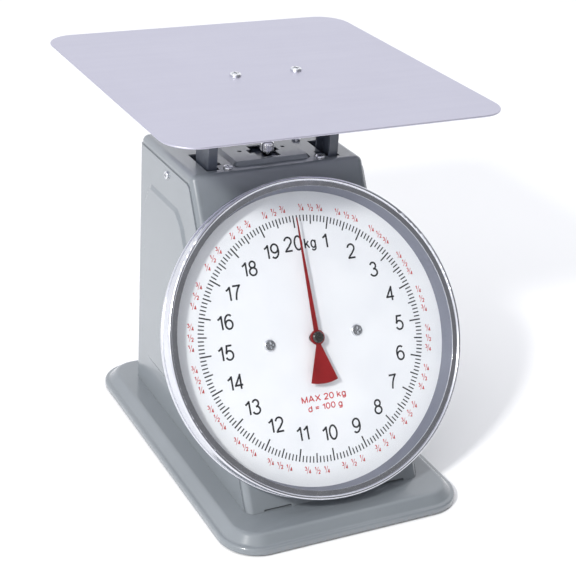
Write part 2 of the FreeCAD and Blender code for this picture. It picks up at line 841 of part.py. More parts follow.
def front_movement_plate():
    top = slab(-front_plate_half_x, front_plate_half_x, -plate_half_w, plate_half_w,
               front_plate_h, front_plate_h + plate_sheet, 4.0)
    foot_w = (frame_floor - dial_point(0, 0, front_plate_h).z) / math.cos(tilt)
    pieces = [top]
    for side in (-1, 1):
        x0, x1 = sorted((side * front_leg_inner, side * front_plate_half_x))
        pieces.append(box(x0, x1, foot_w - 10, -plate_half_w + 6, front_plate_h, front_plate_h + plate_sheet))
    plate = on_dial(plate_holes(fuse(pieces)))
    plate = plate.cut(box(-100, 100, -200, 100, -50, frame_floor))
    feet = []
    for side in (-1, 1):
        x0, x1 = sorted((side * front_leg_inner, side * front_plate_half_x))
        y = movement_foot_y()
        feet.append(box(x0, x1, y - 11.5, y + 9, frame_floor, frame_floor + plate_sheet))
    plate = fuse([plate] + feet)
    for x, y in movement_foot_places():
        plate = plate.cut(rod(x, y, frame_floor - 1, bolt_radius, 5))
    return plate


def rear_movement_plate():
    plate = slab(-rear_plate_half_x, rear_plate_half_x, -plate_half_w, plate_half_w,
                 rear_plate_h, rear_plate_h + plate_sheet, 4.0)
    return on_dial(plate_holes(plate))


def movement_pillars():
    low = rear_plate_h + plate_sheet
    pillars = []
    for x, w in pillar_places():
        pillar = rod(x, w, low, pillar_radius, front_plate_h - low)
        pillars.append(on_dial(pillar.cut(rod(x, w, low - 1, screw_radius, front_plate_h - low + 2))))
    return group(pillars)


def movement_screws():
    screws = []
    for x, w in pillar_places():
        screws.append(on_dial(screw(x, w, rear_plate_h, screw_radius, pillar_screw_head,
                                    pillar_screw_rise, pillar_screw_length, axis=-out_z)))
        screws.append(on_dial(screw(x, w, front_plate_h + plate_sheet, screw_radius, pillar_screw_head,
                                    pillar_screw_rise, pillar_screw_length)))
    return group(screws)


def spindle_bushes():
    bushes = []
    for h in (rear_plate_h, front_plate_h):
        bush = rod(0, 0, h - bush_stand, bush_radius, plate_sheet + 2 * bush_stand)
        bush = bush.cut(rod(0, 0, h - 5, spindle_radius + running_gap, 12))
        bushes.append(on_dial(bush))
    return group(bushes)


def rack_guide():
    """An angled keeper that holds the rack in mesh. It is fixed to the rear plate."""
    side = pitch_radius + rack_width + 0.15
    behind = pinion_centre_h - rack_thick / 2 - 0.15
    low = rear_plate_h + plate_sheet
    wall = box(side, side + 2, -9, 9, low, pinion_centre_h + rack_thick / 2)
    lip = box(pitch_radius + 2.2, side + 1, -9, 9, behind - 1.5, behind)
    return on_dial(fuse([wall, lip]))


def movement_bolts():
    bolts = []
    for x, y in movement_foot_places():
        bolts.append(screw(x, y, frame_floor + plate_sheet, bolt_radius, 3.8, 2.4, plate_sheet + frame_sheet))
    return group(bolts)


# ---- frame and linkage --------------------------------------------------------------------

def ear_x():
    return leg_half + arm_gap + arm_sheet + ear_gap


def main_frame():
    """A pressed C-shaped chassis: floor, back and roof, with four ears for the linkage rods."""
    roof_front = front_panel_y(frame_top) + 4
    floor = box(-frame_half, frame_half, frame_front, frame_back, base_top, frame_floor)
    back = box(-frame_half, frame_half, frame_back - frame_sheet, frame_back, base_top, frame_top)
    roof = box(-frame_half, frame_half, roof_front, frame_back, frame_top - frame_sheet, frame_top)
    pieces = [floor, back, roof]
    for rod_z in (upper_rod_z, lower_rod_z):
        for side in (-1, 1):
            x0, x1 = sorted((side * ear_x(), side * (ear_x() + frame_sheet)))
            pieces.append(box(x0, x1, rod_y - 7, frame_back, rod_z - 8, rod_z + 8))
            t0, t1 = sorted((side * (frame_half - 2), side * (ear_x() + frame_sheet)))
            pieces.append(box(t0, t1, frame_back - frame_sheet, frame_back, rod_z - 8, rod_z + 8))
    frame = fuse(pieces)
    for cut in leg_slots():
        frame = frame.cut(cut)
    frame = frame.cut(rod(0, knob_y, frame_top - 10, zero_rod_radius + 0.5, 20))
    for x, y in top_screw_places():
        frame = frame.cut(rod(x, y, frame_top - 10, screw_radius, 20))
    for x in (-guide_pin_x, guide_pin_x):
        frame = frame.cut(rod(x, platform_y, frame_top - 10, guide_pin_radius, 20))
    for x, y in frame_bolt_places():
        frame = frame.cut(rod(x, y, base_top - 1, bolt_radius + hole_gap, 10))
    for x, y in movement_foot_places():
        frame = frame.cut(rod(x, y, base_top - 1, bolt_radius, 10))
    for rod_z in (upper_rod_z, lower_rod_z):
        frame = frame.cut(rod(-far, rod_y, rod_z, rod_radius, 2 * far, out_x))
    window = slab(-30, 30, -38, 38, -5, 5, 8)
    window.rotate(Vector(0, 0, 0), out_x, 90)
    window.translate(Vector(0, frame_back, (upper_rod_z + lower_rod_z) / 2))
    return frame.cut(window).removeSplitter()


def frame_bolts():
    bolts = []
    for x, y in frame_bolt_places():
        bolt = screw(x, y, base_under, bolt_radius, 4.0, 2.6, frame_floor - base_under + 4,
                     axis=Vector(0, 0, -1))
        bolts.append(bolt)
        bolts.append(hexagon(x, y, frame_floor, nut_flats, nut_height, bore=bolt_radius))
    return group(bolts)


def pivot_rods():
    half = ear_x() + frame_sheet + 2.5
    return group([rod(-half, rod_y, z, rod_radius, 2 * half, out_x) for z in (upper_rod_z, lower_rod_z)])


def rod_clips():
    clips = []
    for z in (upper_rod_z, lower_rod_z):
        for side in (-1, 1):
            x = side * (ear_x() + frame_sheet) if side > 0 else -(ear_x() + frame_sheet + 1.0)
            clip = rod(x, rod_y, z, rod_radius + 1.8, 1.0, out_x)
            clips.append(clip.cut(rod(x - 1, rod_y, z, rod_radius, 3, out_x)))
    return group(clips)


def check_arm(rod_z):
    """A U-shaped link: two arms and a tie across them, turning on a rod at the back."""
    inner = leg_half + arm_gap
    sides = []
    for side in (-1, 1):
        x0 = inner if side > 0 else -inner - arm_sheet
        face = rounded_face([Vector(x0, -arm_height / 2, -arm_height / 2),
                             Vector(x0, arm_length + arm_height / 2 + 1, -arm_height / 2),
                             Vector(x0, arm_length + arm_height / 2 + 1, arm_height / 2),
                             Vector(x0, -arm_height / 2, arm_height / 2)], [4, 4, 4, 4])
        sides.append(face.extrude(Vector(arm_sheet, 0, 0)))
    tie = box(-inner - 0.5, inner + 0.5, arm_height, arm_height + 9,
              -arm_height / 2, arm_sheet - arm_height / 2)
    arm = fuse(sides + [tie])
    arm = arm.cut(rod(-far, 0, 0, rod_radius + running_gap, 2 * far, out_x))
    slot_half = stud_radius + arm_slot_gap
    shift = arm_length - arm_reach + arm_slot_end
    slot = box(-far, far, arm_length - shift, arm_length + arm_slot_end, -slot_half, slot_half)
    arm = arm.cut(slot)
    arm = arm.cut(rod(-far, arm_length - shift, 0, slot_half, 2 * far, out_x))
    arm = arm.cut(rod(-far, arm_length + arm_slot_end, 0, slot_half, 2 * far, out_x))
    arm = arm.cut(box(-leg_half - 0.6, leg_half + 0.6, arm_height + 12, 200, -50, 50))
    arm.rotate(Vector(0, 0, 0), out_z, 180)
    arm.rotate(Vector(0, 0, 0), out_x, -arm_angle)
    arm.translate(Vector(0, rod_y, rod_z))
    return arm.removeSplitter()


def upper_check_arm():
    return check_arm(upper_rod_z)


def lower_check_arm():
    return check_arm(lower_rod_z)


# ---- platform and carrier -----------------------------------------------------------------

def weighing_platform():
    section = [(0, platform_under), (0, platform_top)]
    radii = [platform_edge, platform_edge]
    sheet = pressed_block(platform_width, platform_depth, platform_corner, section, radii)
    sheet.translate(Vector(0, platform_y, 0))
    for x in (-platform_screw_x, platform_screw_x):
        sheet = sheet.cut(rod(x, platform_y, platform_top - 10, bolt_radius, 20))
    return sheet


def platform_screws():
    return group([screw(x, platform_y, platform_top, bolt_radius, platform_screw_head,
                        platform_screw_rise, platform_screw_length)
                  for x in (-platform_screw_x, platform_screw_x)])


def platform_nuts():
    under = platform_under - carrier_sheet - nut_height
    return group([hexagon(x, platform_y, under, nut_flats, nut_height, bore=bolt_radius)
                  for x in (-platform_screw_x, platform_screw_x)])


def carrier_bracket():
    """The bridge under the platform, with two channel-shaped legs that go down into the housing."""
    web_back = 2 * platform_y - leg_front
    low = platform_under - carrier_sheet
    web = slab(-leg_half, leg_half, leg_front, web_back, low, platform_under, 3.0)
    pieces = [web]
    flange_low = leg_bottom + 30
    for side in (-1, 1):
        w0, w1 = sorted((side * (leg_half - carrier_sheet), side * leg_half))
        f0, f1 = sorted((side * (leg_half - leg_flange), side * leg_half))
        pieces.append(box(w0, w1, leg_front, leg_back, leg_bottom, platform_under - 1))
        pieces.append(box(f0, f1, leg_front, leg_front + carrier_sheet, flange_low, platform_under - 1))
        pieces.append(box(f0, f1, leg_back - carrier_sheet, leg_back, flange_low, platform_under - 1))
    bracket = fuse(pieces)
    for x in (-platform_screw_x, platform_screw_x):
        bracket = bracket.cut(rod(x, platform_y, low - 5, bolt_radius, 20))
    for rod_z in (upper_rod_z, lower_rod_z):
        y, z = arm_pin(rod_z)
        bracket = bracket.cut(rod(-far, y, z, stud_radius - stud_step, 2 * far, out_x))
    for y, z in stirrup_rivet_places():
        bracket = bracket.cut(rod(-far, y, z, screw_radius, 2 * far, out_x))
    return bracket


def stirrup_rivet_places():
    z = stirrup_z + stirrup_thick + 5
    return [(leg_mid - 5, z), (leg_mid + 5, z)]


def lower_stirrup():
    inner = leg_half - carrier_sheet
    plate = box(-inner, inner, leg_front + 3, leg_back - 3, stirrup_z, stirrup_z + stirrup_thick)
    middle = slab(-spring_x - 8, spring_x + 8, leg_front + 3, platform_y + 9,
                  stirrup_z, stirrup_z + stirrup_thick, 4.0)
    pieces = [plate, middle]
    for side in (-1, 1):
        x0, x1 = sorted((side * (inner - carrier_sheet), side * inner))
        pieces.append(box(x0, x1, leg_front + 3, leg_back - 3, stirrup_z, stirrup_z + stirrup_thick + 11))
    stirrup = fuse(pieces)
    for y, z in stirrup_rivet_places():
        stirrup = stirrup.cut(rod(-far, y, z, screw_radius, 2 * far, out_x))
    for x in (-spring_x, spring_x):
        stirrup = stirrup.cut(rod(x, platform_y, stirrup_z - 5, spring_wire + 0.8, 20))
    for y in rack_arm_rivet_places():
        stirrup = stirrup.cut(rod(rack_arm_x() - 5, y, stirrup_z - 5, screw_radius, 20))
    return stirrup


def stirrup_rivets():
    rivets = []
    for y, z in stirrup_rivet_places():
        for side in (-1, 1):
            axis = out_x if side > 0 else -out_x
            rivets.append(screw(side * leg_half, y, z, screw_radius, rivet_head, rivet_rise,
                                2 * carrier_sheet + 0.8, axis=axis, cross=False))
    return group(rivets)


def link_studs():
    """Shouldered studs on the legs, which the arms' slotted ends ride on."""
    studs = []
    for rod_z in (upper_rod_z, lower_rod_z):
        y, z = arm_pin(rod_z)
        for side in (-1, 1):
            axis = out_x if side > 0 else -out_x
            stud = rod(0, 0, 0, stud_radius, arm_gap + arm_sheet + 1.0)
            stud = stud.fuse(rod(0, 0, arm_gap + arm_sheet + 0.7, stud_radius + 1.6, 1.2))
            stud = stud.fuse(rod(0, 0, 0, stud_radius + 1.4, arm_gap - 0.4))
            stud = stud.fuse(rod(0, 0, -carrier_sheet - 0.8, stud_radius - stud_step, carrier_sheet + 0.9))
            stud = stud.removeSplitter()
            stud.Placement = Placement(Vector(side * leg_half, y, z), Rotation(out_z, axis))
            studs.append(stud)
    return group(studs)


def rack_arm():
    """A plate that reaches forward from the stirrup, with a level slot for the rack's pin."""
    pin = dial_point(0, rack_pin_w, pinion_centre_h)
    slide = rack_travel * math.sin(tilt)
    slot_half = rack_pin_radius + 0.06
    front = pin.y - slide - rack_pin_radius - 3.0
    rest = stirrup_z + stirrup_thick
    x = rack_arm_x()
    points = [Vector(x, front, pin.z - 5), Vector(x, leg_front, pin.z - 5), Vector(x, leg_front + 5, rest),
              Vector(x, platform_y + 7, rest), Vector(x, platform_y + 7, rest + 9),
              Vector(x, leg_front, pin.z + 3), Vector(x, front, pin.z + 5)]
    arm = Part.Face(Part.makePolygon(points + points[:1])).extrude(Vector(carrier_sheet, 0, 0))
    foot = box(x - 10, x + 0.5, leg_front + 5, platform_y + 7, rest, rest + carrier_sheet)
    arm = fuse([arm, foot])
    slot = box(x - 5, x + 8, pin.y - slide - 0.3, pin.y + 0.3, pin.z - slot_half, pin.z + slot_half)
    arm = arm.cut(slot)
    arm = arm.cut(rod(x - 5, pin.y + 0.3, pin.z, slot_half, 12, out_x))
    arm = arm.cut(rod(x - 5, pin.y - slide - 0.3, pin.z, slot_half, 12, out_x))
    for y in rack_arm_rivet_places():
        arm = arm.cut(rod(x - 5, y, rest - 5, screw_radius, 20))
    return arm.removeSplitter()


def rack_arm_rivet_places():
    return [leg_front + 10, platform_y + 2]


def rack_arm_rivets():
    top = stirrup_z + stirrup_thick + carrier_sheet
    length = carrier_sheet + stirrup_thick + 0.8
    return group([screw(rack_arm_x() - 5, y, top, screw_radius, rivet_head, rivet_rise, length, cross=False)
                  for y in rack_arm_rivet_places()])


# ---- springs and zero adjustment ----------------------------------------------------------

def spring(x):
    """The space that one extension spring fills, as a plain tube with closed ends."""
    low = stirrup_z + stirrup_thick + zero_travel + 0.6
    tube = rod(x, platform_y, low, spring_radius, hanger_z - low)
    hollow = rod(x, platform_y, low + 6, spring_radius - spring_wire, hanger_z - low - 12)
    return tube.cut(hollow)


def left_spring():
    return spring(-spring_x)


def right_spring():
    return spring(spring_x)


def spring_hanger():
    bar = slab(-hanger_half_x, hanger_half_x, knob_y - hanger_edge, platform_y + hanger_edge,
               hanger_z, hanger_z + hanger_thick, 4.0)
    for x in (-guide_pin_x, guide_pin_x):
        bar = bar.cut(rod(x, platform_y, hanger_z - 5, guide_pin_radius + running_gap, 20))
    bar = bar.cut(rod(0, knob_y, hanger_z - 5, zero_rod_radius, 20))
    return bar


def hanger_guide_pins():
    low = hanger_z - 5
    return group([rod(x, platform_y, low, guide_pin_radius, frame_top - low)
                  for x in (-guide_pin_x, guide_pin_x)])


def zero_rod():
    """The screw that carries the hanger. Its head is under the bar and the knob is its nut."""
    shank = rod(0, knob_y, hanger_z - 1, zero_rod_radius, knob_base + 2.5 - hanger_z)
    head = hexagon(0, knob_y, hanger_z - 3.5, 7.0, 3.5)
    return shank.fuse(head).removeSplitter()


def zero_knob():
    """A knurled round nut, domed, with a stem that stands on the frame's roof."""
    stem = rod(0, knob_y, frame_top, zero_rod_radius + 1.6, knob_base - frame_top + 0.5)
    head = rod(0, knob_y, knob_base, knob_radius, knob_height)
    head = head.makeFillet(knob_height * 0.4, [head.Edges[0]])
    for i in range(knob_flutes):
        angle = 2 * math.pi * i / knob_flutes
        x = (knob_radius + flute_offset) * math.cos(angle)
        y = knob_y + (knob_radius + flute_offset) * math.sin(angle)
        head = head.cut(rod(x, y, knob_base + 1.0, flute_radius, knob_height))
    bore = rod(0, knob_y, frame_top - 1, zero_rod_radius + running_gap,
               knob_base + 2.5 + zero_travel + 0.5 - frame_top)
    return head.fuse(stem).cut(bore).removeSplitter()


# ---- output -------------------------------------------------------------------------------

nodes = [
    base_pan, rubber_feet, feet_screws, front_top_shell, rear_side_shell, shell_screws, top_screws,
    dial_case, dial_support_ring, dial_plate, dial_surround, lens_gasket, lens, bezel_ring,
    dial_posts, dial_screws, main_frame, frame_bolts, front_movement_plate, rear_movement_plate,
    movement_pillars, movement_screws, movement_bolts, spindle_bushes, rack_guide, pivot_rods,
    rod_clips, hanger_guide_pins, weighing_platform, platform_screws, platform_nuts,
    carrier_bracket, lower_stirrup, stirrup_rivets, link_studs, rack_arm, rack_arm_rivets,
    upper_check_arm, lower_check_arm, rack, rack_pin, spindle, pinion, needle,
    needle_counterweight, needle_cap, zero_knob, spring_hanger, zero_rod, left_spring, right_spring,
]

os.makedirs("parts", exist_ok=True)
for make in nodes:
    shape = make()
    shape.exportStep("parts/" + make.__name__ + ".step")
    solids = len(shape.Solids)
    print(f"{make.__name__:24s} solids {solids:2d} valid {shape.isValid()} volume {shape.Volume:12.2f}")
print(f"carrier travel {carrier_travel:.4f} rack travel {rack_travel:.4f} arm angle {arm_angle:.4f}")
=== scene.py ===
"""Finishes, dial printing, springs and studio for the mechanical dial platform scale."""

import json
import math
import bmesh
import bpy
from mathutils import Matrix, Vector

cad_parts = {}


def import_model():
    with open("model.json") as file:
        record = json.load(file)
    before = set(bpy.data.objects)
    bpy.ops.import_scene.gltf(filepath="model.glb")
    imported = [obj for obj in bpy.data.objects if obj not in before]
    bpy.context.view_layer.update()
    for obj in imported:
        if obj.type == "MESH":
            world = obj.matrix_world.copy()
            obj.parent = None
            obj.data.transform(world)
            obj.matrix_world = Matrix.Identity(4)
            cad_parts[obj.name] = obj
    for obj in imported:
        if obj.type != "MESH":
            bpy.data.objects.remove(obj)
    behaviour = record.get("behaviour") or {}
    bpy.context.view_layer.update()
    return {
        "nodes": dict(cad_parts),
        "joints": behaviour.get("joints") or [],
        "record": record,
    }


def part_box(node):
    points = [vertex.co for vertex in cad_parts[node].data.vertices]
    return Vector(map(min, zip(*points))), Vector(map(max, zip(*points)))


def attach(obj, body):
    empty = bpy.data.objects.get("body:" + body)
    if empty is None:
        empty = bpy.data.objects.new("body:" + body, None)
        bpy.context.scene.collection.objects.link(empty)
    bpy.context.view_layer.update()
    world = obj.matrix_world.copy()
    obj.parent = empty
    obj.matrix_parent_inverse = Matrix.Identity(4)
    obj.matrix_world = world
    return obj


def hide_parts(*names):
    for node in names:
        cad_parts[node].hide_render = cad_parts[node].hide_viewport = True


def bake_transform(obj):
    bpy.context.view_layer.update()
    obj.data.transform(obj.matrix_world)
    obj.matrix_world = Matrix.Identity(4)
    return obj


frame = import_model()

MM = 0.001
scene = bpy.context.scene
nodes_by_name = frame["nodes"]


# ---- places read from the frame -------------------------------------------------------------

def joint_place(name):
    """A joint's point and its axis, in metres."""
    found = next(j for j in frame["joints"] if j["name"] == name)
    return Vector(found["pos_m"]), Vector(found["axis"]).normalized()


dial_centre, needle_axis = joint_place("pointer_turn")
dial_out = -needle_axis
dial_across = Vector((1, 0, 0))
dial_up = dial_out.cross(dial_across).normalized()


def dial_matrix(out):
    """Places a shape that is drawn with X across, Y up the dial and Z out of its face."""
    turn = Matrix((dial_across, dial_up, dial_out)).transposed().to_4x4()
    return Matrix.Translation(dial_centre + dial_out * out) @ turn


# ---- node material helpers ------------------------------------------------------------------

BEVEL_SAMPLES = 4
RUB_SIZE = 3.0 * MM                 # the patches that wear leaves along an edge


class Finish:
    """A procedural material: a Principled surface whose inputs are fed by small node chains."""

    def __init__(self, name, metallic=0.0, ior=1.5, coat=0.0, coat_roughness=0.05, sheen=0.0):
        self.material = bpy.data.materials.new(name)
        self.material.use_nodes = True
        self.tree = self.material.node_tree
        self.surface = self.tree.nodes["Principled BSDF"]
        self.set("Metallic", metallic)
        self.set("IOR", ior)
        self.set("Coat Weight", coat)
        self.set("Coat Roughness", coat_roughness)
        self.set("Sheen Weight", sheen)
        self.place = self.node("ShaderNodeTexCoord").outputs["Object"]
        self.normal = None

    def node(self, kind, **settings):
        made = self.tree.nodes.new(kind)
        for key, value in settings.items():
            setattr(made, key, value)
        return made

    def set(self, socket, value):
        self.surface.inputs[socket].default_value = value

    def feed(self, socket, source):
        self.tree.links.new(source, self.surface.inputs[socket])

    def join(self, source, target):
        self.tree.links.new(source, target)

    def stretched(self, stretch):
        """The object's coordinates, scaled by a different amount along each axis."""
        if stretch == (1, 1, 1):
            return self.place
        mapping = self.node("ShaderNodeMapping", vector_type="POINT")
        mapping.inputs["Scale"].default_value = stretch
        self.join(self.place, mapping.inputs["Vector"])
        return mapping.outputs["Vector"]

    def noise(self, size, detail=3.0, roughness=0.55, stretch=(1, 1, 1)):
        """Noise whose features are about size across, in metres."""
        made = self.node("ShaderNodeTexNoise")
        made.inputs["Scale"].default_value = 1.0 / size
        made.inputs["Detail"].default_value = detail
        made.inputs["Roughness"].default_value = roughness
        self.join(self.stretched(stretch), made.inputs["Vector"])
        return made.outputs["Fac"]

    def spread(self, value, low, high, start=0.0, stop=1.0):
        """Maps start..stop of a value to low..high."""
        made = self.node("ShaderNodeMapRange")
        numbers = {"From Min": start, "From Max": stop, "To Min": low, "To Max": high}
        for socket, number in numbers.items():
            made.inputs[socket].default_value = number
        self.join(value, made.inputs["Value"])
        return made.outputs["Result"]

    def math(self, operation, first, second=None):
        made = self.node("ShaderNodeMath", operation=operation)
        for index, value in enumerate((first, second)):
            if isinstance(value, (int, float)):
                made.inputs[index].default_value = value
            elif value is not None:
                self.join(value, made.inputs[index])
        return made.outputs["Value"]

    def mix(self, factor, first, second):
        """A colour between two colours or colour sockets."""
        made = self.node("ShaderNodeMix", data_type="RGBA")
        self.join(factor, made.inputs["Factor"])
        for socket, value in ((made.inputs[6], first), (made.inputs[7], second)):
            if isinstance(value, tuple):
                socket.default_value = (*value, 1)
            else:
                self.join(value, socket)
        return made.outputs[2]

    def bevelled(self, radius):
        """The surface's normal with its sharp edges rounded."""
        bevel = self.node("ShaderNodeBevel", samples=BEVEL_SAMPLES)
        bevel.inputs["Radius"].default_value = radius
        return bevel.outputs["Normal"]

    def edges(self, radius, start=0.02, stop=0.25):
        """1 along the piece's outer edges and 0 on its faces, broken up by noise."""
        geometry = self.node("ShaderNodeNewGeometry")
        dot = self.node("ShaderNodeVectorMath", operation="DOT_PRODUCT")
        self.join(self.bevelled(radius), dot.inputs[0])
        self.join(geometry.outputs["Normal"], dot.inputs[1])
        bent = self.math("SUBTRACT", 1.0, dot.outputs["Value"])
        rubbed = self.spread(self.noise(RUB_SIZE, 4), 0.0, 1.0, 0.42, 0.62)
        return self.math("MULTIPLY", self.spread(bent, 0.0, 1.0, start, stop), rubbed)

    def round_edges(self, radius):
        """Catches the light along sharp edges, as a real pressed or turned edge does."""
        self.normal = self.bevelled(radius)

    def bump(self, height, depth):
        """Adds relief. depth is how deep it is, in metres."""
        made = self.node("ShaderNodeBump")
        made.inputs["Distance"].default_value = depth
        made.inputs["Strength"].default_value = 1.0
        self.join(height, made.inputs["Height"])
        if self.normal is not None:
            self.join(self.normal, made.inputs["Normal"])
        self.normal = made.outputs["Normal"]

    def done(self):
        if self.normal is not None:
            self.feed("Normal", self.normal)
        return self.material


# ---- finishes -------------------------------------------------------------------------------

def grey_enamel():
    """Gloss stoving enamel: slight orange peel, faint clouding, rubbed edges."""
    f = Finish("grey_gloss_enamel", ior=1.5, coat=0.6, coat_roughness=0.06)
    cloud = f.spread(f.noise(70 * MM, 2), 0.0, 1.0, 0.3, 0.7)
    base = f.mix(cloud, (0.180, 0.200, 0.218), (0.193, 0.213, 0.231))
    speck = f.spread(f.noise(0.9 * MM, 2), 0.0, 1.0, 0.66, 0.8)
    base = f.mix(f.math("MULTIPLY", speck, 0.12), base, (0.32, 0.33, 0.35))
    worn = f.edges(0.7 * MM, 0.1, 0.5)
    base = f.mix(f.math("MULTIPLY", worn, 0.45), base, (0.55, 0.56, 0.58))
    f.feed("Base Color", base)
    smear = f.spread(f.noise(26 * MM, 3), 0.2, 0.27, 0.3, 0.7)
    f.feed("Roughness", smear)
    f.round_edges(0.45 * MM)
    f.bump(f.noise(2.6 * MM, 1), 0.012 * MM)
    f.bump(f.noise(0.6 * MM, 1), 0.002 * MM)
    return f.done()


def dark_enamel():
    """Darker semi-gloss enamel on the carrier's bracket. On the main frame, seen through the top plate's
    openings, the same dark colour is painted shade.
    """
    f = Finish("dark_enamel_and_painted_shade", ior=1.5, coat=0.35, coat_roughness=0.12)
    cloud = f.spread(f.noise(14 * MM, 3), 0.0, 1.0, 0.35, 0.65)
    base = f.mix(cloud, (0.045, 0.055, 0.078), (0.07, 0.082, 0.108))
    worn = f.edges(0.6 * MM, 0.06, 0.4)
    f.feed("Base Color", f.mix(f.math("MULTIPLY", worn, 0.7), base, (0.32, 0.33, 0.36)))
    f.feed("Roughness", f.spread(f.noise(5 * MM, 4), 0.3, 0.48, 0.3, 0.7))
    f.round_edges(0.4 * MM)
    f.bump(f.noise(1.4 * MM, 2), 0.012 * MM)
    return f.done()


def brushed_stainless():
    """Fine brushed sheet with hairlines across the platform, faint scuffs and rounded edges."""
    f = Finish("brushed_stainless_sheet", metallic=1.0)
    hair = f.noise(0.5 * MM, 5, 0.7, (0.02, 1.0, 1.0))
    band = f.noise(7 * MM, 3, 0.5, (0.06, 1.0, 1.0))
    cloud = f.spread(f.noise(85 * MM, 2), 0.0, 1.0, 0.3, 0.7)
    base = f.mix(cloud, (0.50, 0.493, 0.577), (0.515, 0.508, 0.593))
    base = f.mix(f.spread(hair, 0.0, 0.4, 0.35, 0.75), base, (0.55, 0.545, 0.63))
    worn = f.edges(0.4 * MM, 0.05, 0.4)
    f.feed("Base Color", f.mix(f.math("MULTIPLY", worn, 0.6), base, (0.82, 0.82, 0.84)))
    scuff = f.spread(f.noise(24 * MM, 6, 0.65), 0.0, 0.04, 0.45, 0.75)
    polish = f.math("ADD", f.spread(band, 0.4, 0.44, 0.35, 0.65), scuff)
    f.feed("Roughness", f.math("ADD", polish, f.spread(hair, 0.0, 0.05, 0.3, 0.7)))
    f.round_edges(0.5 * MM)
    f.bump(hair, 0.002 * MM)
    return f.done()


def spun_aluminium():
    """Polished spun metal. Its fine rings follow the dial's centre."""
    f = Finish("polished_spun_metal", metallic=1.0)
    away = f.node("ShaderNodeVectorMath", operation="DISTANCE")
    f.join(f.place, away.inputs[0])
    away.inputs[1].default_value = dial_centre
    rings = f.node("ShaderNodeTexNoise", noise_dimensions="1D")
    rings.inputs["Scale"].default_value = 1.0 / (0.35 * MM)
    rings.inputs["Detail"].default_value = 3.0
    f.join(away.outputs["Value"], rings.inputs["W"])
    cloud = f.spread(f.noise(30 * MM, 3), 0.0, 1.0, 0.35, 0.65)
    base = f.mix(cloud, (0.64, 0.65, 0.70), (0.70, 0.71, 0.755))
    haze = f.spread(f.noise(1.6 * MM, 5), 0.0, 0.35, 0.5, 0.75)
    f.feed("Base Color", f.mix(haze, base, (0.55, 0.56, 0.6)))
    f.feed("Roughness", f.spread(f.noise(9 * MM, 5), 0.1, 0.24, 0.3, 0.7))
    f.round_edges(0.25 * MM)
    f.bump(rings.outputs["Fac"], 0.0035 * MM)
    return f.done()


def dial_white():
    """White printed enamel with a satin varnish."""
    f = Finish("white_dial_enamel", ior=1.46, coat=0.15, coat_roughness=0.2)
    cloud = f.spread(f.noise(45 * MM, 3), 0.0, 1.0, 0.35, 0.65)
    base = f.mix(cloud, (0.84, 0.842, 0.872), (0.868, 0.87, 0.895))
    f.feed("Base Color", base)
    f.feed("Roughness", f.spread(f.noise(12 * MM, 4), 0.34, 0.46, 0.3, 0.7))
    f.bump(f.noise(0.5 * MM, 2), 0.002 * MM)
    return f.done()


def clear_glass():
    """Clean window glass: see-through, with a faint mirror that is stronger at a glancing angle."""
    f = Finish("clear_lens_glass", ior=1.5)
    through = f.node("ShaderNodeBsdfTransparent")
    mirror = f.node("ShaderNodeBsdfGlossy")
    smudge = f.noise(28 * MM, 4)
    tint = f.mix(f.spread(smudge, 0.0, 1.0, 0.3, 0.7), (0.965, 0.972, 0.975), (0.985, 0.99, 0.99))
    f.join(tint, through.inputs["Color"])
    mirror.inputs["Color"].default_value = (0.95, 0.96, 1.0, 1)
    f.join(f.spread(smudge, 0.02, 0.07, 0.3, 0.7), mirror.inputs["Roughness"])
    wave = f.node("ShaderNodeBump")
    wave.inputs["Distance"].default_value = 0.02 * MM
    f.join(f.noise(40 * MM, 1), wave.inputs["Height"])
    f.join(wave.outputs["Normal"], mirror.inputs["Normal"])
    facing = f.node("ShaderNodeLayerWeight")
    facing.inputs["Blend"].default_value = 0.5
    glance = f.spread(f.math("POWER", facing.outputs["Facing"], 5.0), 0.045, 1.0)
    outside = f.math("SUBTRACT", 1.0, f.node("ShaderNodeNewGeometry").outputs["Backfacing"])
    blend = f.node("ShaderNodeMixShader")
    f.join(f.math("MULTIPLY", glance, outside), blend.inputs["Fac"])
    f.join(through.outputs["BSDF"], blend.inputs[1])
    f.join(mirror.outputs["BSDF"], blend.inputs[2])
    f.join(blend.outputs["Shader"], f.tree.nodes["Material Output"].inputs["Surface"])
    f.tree.nodes.remove(f.surface)
    return f.material


def rubber():
    """Matt black rubber with a little dust."""
    f = Finish("black_rubber", ior=1.45, sheen=0.15)
    dusty = f.spread(f.noise(6 * MM, 5), 0.0, 1.0, 0.45, 0.8)
    f.feed("Base Color", f.mix(dusty, (0.014, 0.014, 0.015), (0.045, 0.044, 0.042)))
    f.feed("Roughness", f.spread(f.noise(2 * MM, 3), 0.6, 0.85, 0.3, 0.7))
    f.round_edges(0.3 * MM)
    f.bump(f.noise(0.35 * MM, 3), 0.03 * MM)
    return f.done()


def plated(name, dark, light, rough_low, rough_high, grain=0.8 * MM):
    """Plated or bare steel, with a mottled bloom, brighter edges and a fine grain."""
    f = Finish(name, metallic=1.0)
    bloom = f.spread(f.noise(3.5 * MM, 4), 0.0, 1.0, 0.3, 0.7)
    base = f.mix(bloom, dark, light)
    worn = f.edges(0.32 * MM)
    f.feed("Base Color", f.mix(f.math("MULTIPLY", worn, 0.8), base, (0.86, 0.86, 0.87)))
    f.feed("Roughness", f.spread(f.noise(1.8 * MM, 5), rough_low, rough_high, 0.3, 0.7))
    f.round_edges(0.2 * MM)
    f.bump(f.noise(grain, 3, 0.6), 0.006 * MM)
    return f.done()


